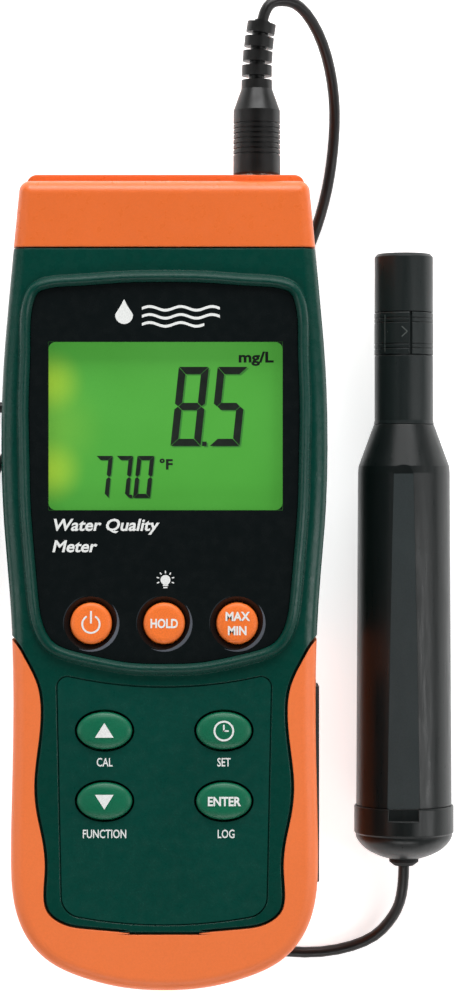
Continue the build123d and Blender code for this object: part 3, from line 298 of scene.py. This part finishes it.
node_mats = {
    "front_case": "green_plastic", "rear_case": "green_plastic", "top_cap": "cap_orange", "grip": "grip_orange",
    "display_panel": "panel_black", "display_window": "window_clear", "lcd_panel": "lcd_green", "backlight": "guide",
    "keypad_overlay": "green_overlay", "keypad_mat": "silicone", "main_board": "board",
    "key_power": "key_orange", "key_hold": "key_orange", "key_max_min": "key_orange",
    "key_up": "key_green", "key_set": "key_green", "key_down": "key_green", "key_enter": "key_green",
    "dc_jack": "plug_black", "data_jack": "plug_black", "reset_button": "silicone", "reset_switch": "plug_black",
    "card_socket": "steel", "memory_card": "card_blue", "cells": "cell", "battery_contacts": "nickel",
    "battery_cover": "green_plastic", "stand_pin": "steel", "tilt_stand": "rubber_black", "tripod_insert": "brass",
    "rubber_feet": "rubber_black", "case_screws": "steel", "cover_screw": "steel", "port_cover": "rubber_black",
    "port_pin": "steel", "probe_socket": "plug_black", "plug_shell": "nickel", "plug_pins": "brass",
    "plug_body": "plug_black", "strain_relief": "plug_black", "probe_body": "probe_barrel_shaded",
    "probe_end_cap": "probe_barrel_shaded", "lead_gland": "rubber_black", "preamp_board": "board", "sensor_neck": "probe_black",
    "lock_ring": "probe_black", "sensor_head": "probe_black", "membrane_cap": "plug_black", "membrane": "membrane",
    "anode": "nickel", "cathode": "gold", "seal_rings": "rubber_black", "thermistor": "steel",
    "lead_upper": "lead_black", "lead_lower": "lead_black", "lead_coil": "lead_black", "coil_tie": "rubber_black",
}
for node, mat in node_mats.items():
    o = nodes[node]
    o.data.materials.clear()
    o.data.materials.append(mats[mat])


# ------------------------------------------------------------- mesh helpers
def make(name, verts, faces, mat, body, smooth=True):
    """A mesh piece in millimetres on a CAD body."""
    mesh = bpy.data.meshes.new(name)
    mesh.from_pydata([(x * MM, y * MM, z * MM) for x, y, z in verts], [], faces)
    mesh.validate()
    bm = bmesh.new()
    bm.from_mesh(mesh)
    bmesh.ops.recalc_face_normals(bm, faces=bm.faces)
    bm.to_mesh(mesh)
    bm.free()
    o = bpy.data.objects.new(name, mesh)
    scene.collection.objects.link(o)
    mesh.materials.append(mats[mat])
    if smooth:
        for p in mesh.polygons:
            p.use_smooth = True
    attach(o, body)
    return o


def prism(outlines, z0, z1):
    """Verts and faces of flat plates: each outline is a list of (x, y), counter-clockwise."""
    verts, faces = [], []
    for outline in outlines:
        n, s = len(outline), len(verts)
        verts += [(x, y, z0) for x, y in outline] + [(x, y, z1) for x, y in outline]
        faces.append(list(range(s + n, s + 2 * n)))
        faces.append(list(range(s + n - 1, s - 1, -1)))
        for i in range(n):
            j = (i + 1) % n
            faces.append([s + i, s + j, s + n + j, s + n + i])
    return verts, faces


def text(name, words, x, y, z, height, body, mat="print_white", bold=0.0, align="CENTER", shear=0.0, wide=1.0):
    """Flat printed words, cap height in mm, centred on (x, y)."""
    cu = bpy.data.curves.new(name + "_curve", "FONT")
    cu.body = words
    cu.size = height / 0.73 * MM
    cu.align_x, cu.align_y = align, "CENTER"
    cu.offset = bold * MM
    cu.extrude = 0.012 * MM
    cu.resolution_u = 3
    tmp = bpy.data.objects.new(name + "_tmp", cu)
    scene.collection.objects.link(tmp)
    bpy.context.view_layer.update()
    mesh = bpy.data.meshes.new_from_object(tmp.evaluated_get(bpy.context.evaluated_depsgraph_get()))
    bpy.data.objects.remove(tmp)
    ys = [v.co.y for v in mesh.vertices]
    mid = (min(ys) + max(ys)) / 2
    for v in mesh.vertices:
        v.co = ((x + MX) * MM + v.co.x * wide + shear * (v.co.y - mid), y * MM + v.co.y - mid, z * MM + v.co.z + 0.012 * MM)
    mesh.name = name
    o = bpy.data.objects.new(name, mesh)
    scene.collection.objects.link(o)
    mesh.materials.clear()
    mesh.materials.append(mats[mat])
    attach(o, body)
    return o


def ring_outline(cx, cy, r, a0=0.0, a1=360.0, width=0.5, n=40):
    """A flat arc band as one outline; a full ring is two halves."""
    pts = [(cx + (r + width / 2) * math.cos(math.radians(a0 + (a1 - a0) * i / n)),
            cy + (r + width / 2) * math.sin(math.radians(a0 + (a1 - a0) * i / n))) for i in range(n + 1)]
    pts += [(cx + (r - width / 2) * math.cos(math.radians(a1 - (a1 - a0) * i / n)),
             cy + (r - width / 2) * math.sin(math.radians(a1 - (a1 - a0) * i / n))) for i in range(n + 1)]
    return pts


def bar(x0, y0, x1, y1, w):
    dx, dy = x1 - x0, y1 - y0
    n = math.hypot(dx, dy)
    ux, uy = -dy / n * w / 2, dx / n * w / 2
    return [(x0 - ux, y0 - uy), (x1 - ux, y1 - uy), (x1 + ux, y1 + uy), (x0 + ux, y0 + uy)]


def mark(name, outlines, z, body, mat="print_white", thick=0.024):
    """Printed marks in meter coordinates."""
    verts, faces = prism([[(x + MX, y) for x, y in o] for o in outlines], z, z + thick)
    return make(name, verts, faces, mat, body, smooth=False)


# ------------------------------------------------------------------- display
def digit(segments, x, y, w, h, t, slant, gap=0.12):
    """Outlines of a seven-segment digit; (x, y) is its lower left corner."""
    m = h / 2
    g = gap
    shapes = {
        "a": [(g, h), (w - g, h), (w - t - g, h - t), (t + g, h - t)],
        "d": [(g, 0), (t + g, t), (w - t - g, t), (w - g, 0)],
        "g": [(t * 0.5 + g, m), (t + g, m + t / 2), (w - t - g, m + t / 2), (w - t * 0.5 - g, m), (w - t - g, m - t / 2), (t + g, m - t / 2)],
        "f": [(0, h - g), (t, h - t - g), (t, m + t / 2 + g * 0.6), (t * 0.45, m + g * 0.6), (0, m + t * 0.4)],
        "e": [(0, g), (0, m - t * 0.4), (t * 0.45, m - g * 0.6), (t, m - t / 2 - g * 0.6), (t, t + g)],
        "b": [(w, h - g), (w, m + t * 0.4), (w - t * 0.45, m + g * 0.6), (w - t, m + t / 2 + g * 0.6), (w - t, h - t - g)],
        "c": [(w, g), (w - t, t + g), (w - t, m - t / 2 - g * 0.6), (w - t * 0.45, m - g * 0.6), (w, m - t * 0.4)],
    }
    out = []
    for s in segments:
        pts = [(x + px + slant * py, y + py) for px, py in shapes[s]]
        area = sum(a[0] * b[1] - b[0] * a[1] for a, b in zip(pts, pts[1:] + pts[:1]))
        out.append(pts if area > 0 else pts[::-1])
    return out


def dot(x, y, s):
    return [(x, y), (x + s, y), (x + s, y + s), (x, y + s)]


LCD_TOP = 42.4
big = digit("abcdefg", 1.35, 30.87, 6.77, 17.85, 1.62, 0.106, 0.09) + digit("acdfg", 10.12, 30.87, 6.8, 17.85, 1.62, 0.106, 0.09)
big += [dot(8.5, 30.87, 1.0)]
small = digit("abc", -16.34, 19.14, 3.7, 9.5, 0.95, 0.106, 0.05) + digit("abc", -11.77, 19.14, 3.7, 9.5, 0.95, 0.106, 0.05)
small += digit("abcdef", -7.11, 19.14, 3.84, 9.5, 0.95, 0.106, 0.05) + [dot(-8.02, 19.14, 0.75)]
mark("lcd_reading_large", big, LCD_TOP + 0.03, "meter", "legend_dark")
mark("lcd_reading_small", small, LCD_TOP + 0.03, "meter", "legend_dark")
# Painted shadow: darker copies of the segments, offset down and to the right, laid just under the readings.
mark("lcd_shadow_large", [[(x + 0.38, y - 0.3) for x, y in o] for o in big], LCD_TOP + 0.002, "meter", "lcd_painted_shadow", 0.012)
mark("lcd_shadow_small", [[(x + 0.25, y - 0.2) for x, y in o] for o in small], LCD_TOP + 0.002, "meter", "lcd_painted_shadow", 0.012)
text("lcd_unit_main", "mg/L", 20.59, 50.56, LCD_TOP, 2.4, "meter", "legend_dark", 0.11, wide=1.22)
text("lcd_unit_temp", "°F", 0.31, 26.8, LCD_TOP, 2.3, "meter", "legend_dark", 0.11, wide=1.12)

# ------------------------------------------------------------ printed panel
PANEL_TOP = 46.0
corners = []
for sx, sy in ((1, 1), (-1, 1), (-1, -1), (1, -1)):
    cx, cy, r = 0.3 + sx * 26.25, 35.3 + sy * 18.85, 1.6
    arc = [(cx - sx * r + sx * r * math.sin(math.radians(9 * i)), cy - sy * r + sy * r * math.cos(math.radians(9 * i))) for i in range(11)]
    pts = [(cx, cy)] + (arc[::-1])
    area2 = sum(p[0] * q[1] - q[0] * p[1] for p, q in zip(pts, pts[1:] + pts[:1]))
    corners.append(pts if area2 > 0 else pts[::-1])
mark("window_corners", corners, 45.86, "meter", "panel_black", 0.12)
text("title_line_1", "Water Quality", -25.0, 12.7, PANEL_TOP, 2.7, "meter", bold=0.09, align="LEFT", shear=0.22, wide=1.08)
text("title_line_2", "Meter", -25.0, 8.3, PANEL_TOP, 2.7, "meter", bold=0.09, align="LEFT", shear=0.22, wide=1.08)


def drop(cx, cy, r, n=36):
    """A water drop: round below, pointed above."""
    pts = []
    for i in range(n):
        a = 2 * math.pi * i / n - math.pi / 2
        x, y = math.cos(a), math.sin(a)
        lift = max(0.0, y)
        pts.append((cx + r * x * (1 - 0.75 * lift ** 1.4), cy + r * (y + 0.75 * lift ** 2.2)))
    return pts


def wave(x0, x1, y, amp, w, waves=2.5, n=40):
    line = [(x0 + (x1 - x0) * i / n, y + amp * math.sin(2 * math.pi * waves * i / n)) for i in range(n + 1)]
    return [(x, yy - w / 2) for x, yy in line] + [(x, yy + w / 2) for x, yy in line[::-1]]


mark("panel_icon", [drop(-9.0, 60.2, 2.0), wave(-5.0, 12.5, 61.7, 0.42, 0.62), wave(-5.0, 12.5, 59.9, 0.42, 0.62),
                    wave(-5.0, 9.0, 58.1, 0.42, 0.62, 2.0)], PANEL_TOP, "meter")

# backlight lamp symbol above the middle round key
lamp = [ring_outline(0.3, 0.75, 0.56, 0, 360, 1.1), bar(-0.3, -0.45, 0.9, -0.45, 0.3), bar(-0.15, -0.95, 0.75, -0.95, 0.3)]
for k in range(7):
    a = math.radians(-20 + k * 220 / 6)
    lamp.append(bar(0.3 + 1.5 * math.cos(a), 0.75 + 1.5 * math.sin(a), 0.3 + 2.05 * math.cos(a), 0.75 + 2.05 * math.sin(a), 0.26))
mark("lamp_symbol", lamp, PANEL_TOP, "meter")


# ---------------------------------------------------------------------- keys
def domed(name, cx, cy, a, b, profile, mat, body, node, n=72):
    """A moulded key: elliptical rings from the skirt up over a gentle crown."""
    verts, faces = [], []
    for s, inset, z in profile:
        for i in range(n):
            t = 2 * math.pi * i / n
            verts.append((cx + MX + (a * s - inset) * math.cos(t), cy + (b * s - inset) * math.sin(t), z))
    rings = len(profile)
    for r in range(rings - 1):
        for i in range(n):
            j = (i + 1) % n
            faces.append([r * n + i, r * n + j, (r + 1) * n + j, (r + 1) * n + i])
    faces.append([i for i in range(n)][::-1])
    verts.append((cx + MX, cy, profile[-1][2] + 0.004))
    top = len(verts) - 1
    for i in range(n):
        faces.append([(rings - 1) * n + i, (rings - 1) * n + (i + 1) % n, top])
    o = make(name, verts, faces, mat, body, True)
    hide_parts(node)
    return o


ROUND = [(1, -1.2, 41.5), (1, -1.25, 41.6), (1, -1.25, 42.2), (1, -1.2, 42.3), (1, 0.02, 42.32), (1, 0.0, 42.5), (1, 0.0, 45.7),
         (1, 0.05, 46.0), (1, 0.2, 46.3), (1, 0.48, 46.52), (1, 0.85, 46.64), (1, 1.3, 46.68), (1, 2.0, 46.68),
         (1, 3.0, 46.66), (1, 4.0, 46.65)]
OVAL = [(1, -1.35, 41.5), (1, -1.4, 41.6), (1, -1.4, 42.2), (1, -1.35, 42.3), (1, 0.02, 42.32), (1, 0.0, 42.5), (1, 0.0, 45.6),
        (1, 0.06, 45.95), (1, 0.22, 46.2), (1, 0.5, 46.4), (1, 0.9, 46.52), (0.8, 0.2, 46.6), (0.6, 0.1, 46.68),
        (0.4, 0.0, 46.73), (0.2, 0.0, 46.76), (0.06, 0.0, 46.77)]
for name, (cx, cy) in (("power", (-16.4, -9.0)), ("hold", (0.0, -9.0)), ("max_min", (16.4, -9.0))):
    domed("round_key_" + name, cx, cy, 4.65, 4.65, ROUND, "key_orange", "key_" + name, "key_" + name)
for name, (cx, cy) in (("up", (-13.4, -33.1)), ("set", (13.4, -33.1)), ("down", (-13.4, -48.9)), ("enter", (13.4, -48.9))):
    domed("oval_key_" + name, cx, cy, 6.2, 4.175, OVAL, "key_green", "key_" + name, "key_" + name)

def crescent(cx, cy, r, a0, a1, w, n=40):
    pts = [(cx + r * math.cos(math.radians(a0 + (a1 - a0) * i / n)), cy + r * math.sin(math.radians(a0 + (a1 - a0) * i / n))) for i in range(n + 1)]
    for i in range(n - 1, 0, -1):
        a, t = math.radians(a0 + (a1 - a0) * i / n), w * math.sin(math.pi * i / n)
        pts.append((cx + (r - t) * math.cos(a), cy + (r - t) * math.sin(a)))
    return pts


# Painted highlights on each round-key dish: a grey crescent on the lower right of the sloping rim and a faint one on
# the upper left, standing for the light the rim catches.
for name, cx in (("left", -16.4), ("middle", 0.0), ("right", 16.4)):
    mark("dish_painted_highlight_" + name, [crescent(cx, -9.0, 6.35, -118, 42, 0.75)], PANEL_TOP, "meter", "painted_highlight_grey")
    mark("dish_painted_faint_highlight_" + name, [crescent(cx, -9.0, 6.3, 100, 200, 0.22)], PANEL_TOP, "meter", "painted_highlight_faint")

KZ = 46.68
mark("legend_power", [ring_outline(-16.4, -9.15, 1.95, 118, 422, 0.42), bar(-16.4, -9.0, -16.4, -6.2, 0.42)], KZ + 0.01, "key_power")
text("legend_hold", "HOLD", 0.0, -9.0, KZ, 2.05, "key_hold", bold=0.09, wide=0.80)
text("legend_max", "MAX", 16.4, -7.4, KZ, 2.0, "key_max_min", bold=0.09, wide=0.92)
text("legend_min", "MIN", 16.4, -10.6, KZ, 2.0, "key_max_min", bold=0.09, wide=0.88)
OZ = 46.78
mark("legend_up", [[(-15.5, -34.6), (-11.3, -34.6), (-13.4, -31.3)]], OZ, "key_up")
mark("legend_down", [[(-13.4, -50.7), (-11.3, -47.4), (-15.5, -47.4)]], OZ, "key_down")
mark("legend_clock", [ring_outline(13.4, -33.1, 2.1, 0, 180, 0.42), ring_outline(13.4, -33.1, 2.1, 180, 360, 0.42),
                      bar(13.4, -33.25, 13.4, -31.7, 0.36), bar(13.25, -33.1, 14.5, -33.1, 0.36)], OZ, "key_set")
text("legend_enter", "ENTER", 13.4, -48.9, OZ, 2.05, "key_enter", bold=0.09, wide=0.88)
LZ = 45.55
for name, words, x, y in (("cal", "CAL", -13.4, -40.2), ("set", "SET", 13.4, -40.2), ("function", "FUNCTION", -13.4, -56.3), ("log", "LOG", 13.9, -56.3)):
    text("label_" + name, words, x, y, LZ, 1.95, "meter", bold=0.035, wide=0.73)

# ------------------------------------------------------------- lock ring mark
arrow_z = AXIS_Z + 6.9


def on_ring(name, outlines, r, mat, body):
    """Small raised marks wrapped on the probe's ring: x is along the girth, y along the axis."""
    verts, faces = [], []
    for outline in outlines:
        s, n = len(verts), len(outline)
        for rr in (r - 0.03, r + 0.035):
            for gx, y in outline:
                a = gx / r
                verts.append((PX + rr * math.sin(a), y, AXIS_Z + rr * math.cos(a)))
        faces.append(list(range(s + n, s + 2 * n)))
        faces.append(list(range(s + n - 1, s - 1, -1)))
        for i in range(n):
            j = (i + 1) % n
            faces.append([s + i, s + j, s + n + j, s + n + i])
    return make(name, verts, faces, mat, body, False)


on_ring("ring_arrow", [bar(-4.5, 58.1, 0.3, 58.1, 0.24), bar(-0.9, 59.3, 0.4, 58.1, 0.24), bar(-0.9, 56.9, 0.4, 58.1, 0.24),
                       bar(-5.2, 53.4, -5.2, 62.0, 0.16), bar(-5.2, 62.0, 0.7, 62.0, 0.16), bar(-5.2, 53.6, 0.7, 53.6, 0.16)],
        6.95, "mark_grey", "lock_ring")

# the barrel's flat face between its two long edges: matt roughness, with a lighter grey base colour painted in for the
# sheen it reflects
face_verts, face_faces, steps = [], [], 24
for k in range(steps + 1):
    y = -53.2 + 78.0 * k / steps
    half = max(0.4, math.sqrt(max(0.0, (11.25 - 0.42 * (y + 53.2) / 78.2) ** 2 - 10.57 ** 2)) - 0.12)
    for side in (-1, 1):
        x = -0.68 + side * half
        face_verts.append((PX + x, y, AXIS_Z + 10.57 + 0.064 * (x + 0.7) / 0.998 + 0.012))
for k in range(steps):
    a = 2 * k
    face_faces.append([a, a + 1, a + 3, a + 2])
base = len(face_verts)
face_verts += [(x, y, z - 0.03) for x, y, z in face_verts]
face_faces += [[base + i for i in f[::-1]] for f in face_faces]
rim = [2 * k for k in range(steps + 1)] + [2 * k + 1 for k in range(steps, -1, -1)]
face_faces += [[rim[i], rim[(i + 1) % len(rim)], base + rim[(i + 1) % len(rim)], base + rim[i]] for i in range(len(rim))]
make("barrel_face", face_verts, face_faces, "facet_painted_sheen", "lead_set", False)

# ---------------------------------------------------------------------- lead
LEAD_UPPER = [
    (22.34, 129.85, 24.0), (22.9, 132.6, 24.0), (25.3, 134.8, 23.6), (31.2, 134.6, 20.4), (36.9, 126.6, 14.2), (39.9, 114.4, 6.6),
    (39.6, 102.0, 1.6), (37.6, 90.0, 1.35), (33.4, 77.5, 1.32), (24.8, 66.6, 1.31), (11.0, 56.0, 1.3), (-5.5, 47.0, 1.32),
    (-23.0, 41.6, 1.3), (-41.0, 40.4, 1.35), (-55.0, 42.4, 1.7),
]
LEAD_LOWER = [
    (-68.0, -8.0, 13.6), (-56.4, -5.2, 10.6), (-47.2, 3.0, 6.4), (-42.8, 13.6, 2.6), (-43.0, 25.0, 1.4),
    (-35.2, 32.6, 1.31), (-25.2, 28.0, 1.3),
    (-21.4, 16.0, 1.3), (-20.9, 0.0, 1.31), (-22.2, -18.0, 1.3), (-21.6, -38.0, 1.31), (-17.0, -58.0, 1.3), (-5.0, -76.0, 1.31),
    (14.0, -87.2, 1.3), (33.0, -90.6, 1.31), (48.0, -87.6, 1.5), (54.2, -80.4, 5.6), (55.9, -73.4, 10.4), (55.85, -67.6, 11.75),
]
COIL = (-68.5, 18.0)
D = 2.6
RADII = [16.6 + (2.5 - k) * D for k in range(6)]      # outermost first
HEIGHTS = [0.6 + D / 2 + (5 - k) * D for k in range(6)]  # top layer first


def coil_points(per_turn=16):
    """Control points of the wound lead: concentric turns, a short step to the next, six layers."""
    keys = []                    # (angle travelled, radius, height) where each stretch starts and ends
    a = 205.0
    first_end = 300.0
    end = first_end
    for layer, z in enumerate(HEIGHTS):
        order = RADII if layer % 2 == 0 else RADII[::-1]
        for k, r in enumerate(order):
            last = k == len(order) - 1
            stop = end - 60 if last else end
            keys.append((a, r, z))
            if layer == len(HEIGHTS) - 1 and last:
                keys.append((end, r, z))
                break
            keys.append((stop, r, z))
            a = stop + 60
            end = stop + 360 if not last else stop + 300
            if last:
                a, end = stop + 60, stop + 300
    step = 360.0 / per_turn
    pts, t, i = [], keys[0][0], 0
    final = 12230.0              # where the top of the bottom turn heads for the meter
    while t < final:
        while i < len(keys) - 2 and keys[i + 1][0] <= t:
            i += 1
        (a0, r0, z0), (a1, r1, z1) = keys[i], keys[i + 1]
        f = 0.0 if a1 == a0 else (t - a0) / (a1 - a0)
        f = f * f * (3 - 2 * f)
        r, z = r0 + (r1 - r0) * f, z0 + (z1 - z0) * f
        phi = math.radians(90.0 - t)
        pts.append((COIL[0] + r / 0.981 * math.cos(phi), COIL[1] + r / 0.981 * math.sin(phi), z))
        t += step
    return pts


wound = coil_points()
route = LEAD_LOWER[::-1] + wound + LEAD_UPPER[::-1]
curve = bpy.data.curves.new("probe_lead", "CURVE")
curve.dimensions = "3D"
spline = curve.splines.new("NURBS")
spline.points.add(len(route) - 1)
for p, (x, y, z) in zip(spline.points, route):
    p.co = ((x + MX) * MM, y * MM, z * MM, 1.0)
spline.order_u = 3
spline.use_endpoint_u = True
curve.resolution_u = 4
curve.bevel_depth = D / 2 * MM
curve.bevel_resolution = 4
curve.use_fill_caps = True
lead = bpy.data.objects.new("probe_lead", curve)
scene.collection.objects.link(lead)
curve.materials.append(mats["lead_black"])
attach(lead, "lead_set")
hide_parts("lead_upper", "lead_lower", "lead_coil")

# ----------------------------------------------------- floor, world and lights
floor_mesh = bpy.data.meshes.new("floor")
floor_mesh.from_pydata([(-3, -3, -0.0003), (3, -3, -0.0003), (3, 3, -0.0003), (-3, 3, -0.0003)], [], [(0, 1, 2, 3)])
floor = bpy.data.objects.new("floor", floor_mesh)
scene.collection.objects.link(floor)
fm, ft, fb, fc = new_material("floor_pale")
fb.inputs["Base Color"].default_value = (0.92, 0.92, 0.915, 1)
fb.inputs["Roughness"].default_value = 0.9
fb.inputs["Emission Color"].default_value = (1, 1, 1, 1)
fb.inputs["Emission Strength"].default_value = 0.66
fb.inputs["Specular IOR Level"].default_value = 0.1
geo = ft.nodes.new("ShaderNodeNewGeometry")
see = ft.nodes.new("ShaderNodeBsdfTransparent")
pick = ft.nodes.new("ShaderNodeMixShader")
ft.links.new(geo.outputs["Backfacing"], pick.inputs["Fac"])
ft.links.new(fb.outputs["BSDF"], pick.inputs[1])
ft.links.new(see.outputs["BSDF"], pick.inputs[2])
ft.links.new(pick.outputs["Shader"], ft.nodes["Material Output"].inputs["Surface"])
floor_mesh.materials.append(fm)

world = bpy.data.worlds.new("studio")
scene.world = world
world.use_nodes = True
wt = world.node_tree
sky = wt.nodes.new("ShaderNodeTexCoord")
split = wt.nodes.new("ShaderNodeSeparateXYZ")
wt.links.new(sky.outputs["Generated"], split.inputs["Vector"])
fade = map_range(wt, split.outputs["Z"], 0.30, 0.92, 0.36, 0.05)
fade.interpolation_type = "SMOOTHSTEP"
wt.nodes["Background"].inputs["Color"].default_value = (1, 1, 1, 1)
wt.links.new(fade.outputs["Result"], wt.nodes["Background"].inputs["Strength"])


def area(name, where, aim, size, size_y, energy, color=(1, 1, 1)):
    d = bpy.data.lights.new(name, "AREA")
    d.shape = "RECTANGLE"
    d.size, d.size_y = size, size_y
    d.energy = energy
    d.color = color
    o = bpy.data.objects.new(name, d)
    scene.collection.objects.link(o)
    o.location = where
    o.rotation_euler = (Vector(aim) - Vector(where)).to_track_quat("-Z", "Y").to_euler()
    return o


area("key_top", (0.05, 0.92, 0.52), (0, 0.02, 0.02), 1.0, 0.55, 11.5)
area("fill_left", (-0.85, -0.05, 0.70), (0, 0, 0.02), 0.30, 0.9, 1.9)
area("fill_right", (0.80, -0.10, 0.75), (0, 0, 0.02), 0.16, 0.9, 3.0)
area("fill_front", (0.0, -0.85, 0.65), (0, 0, 0.02), 0.8, 0.3, 2.8)
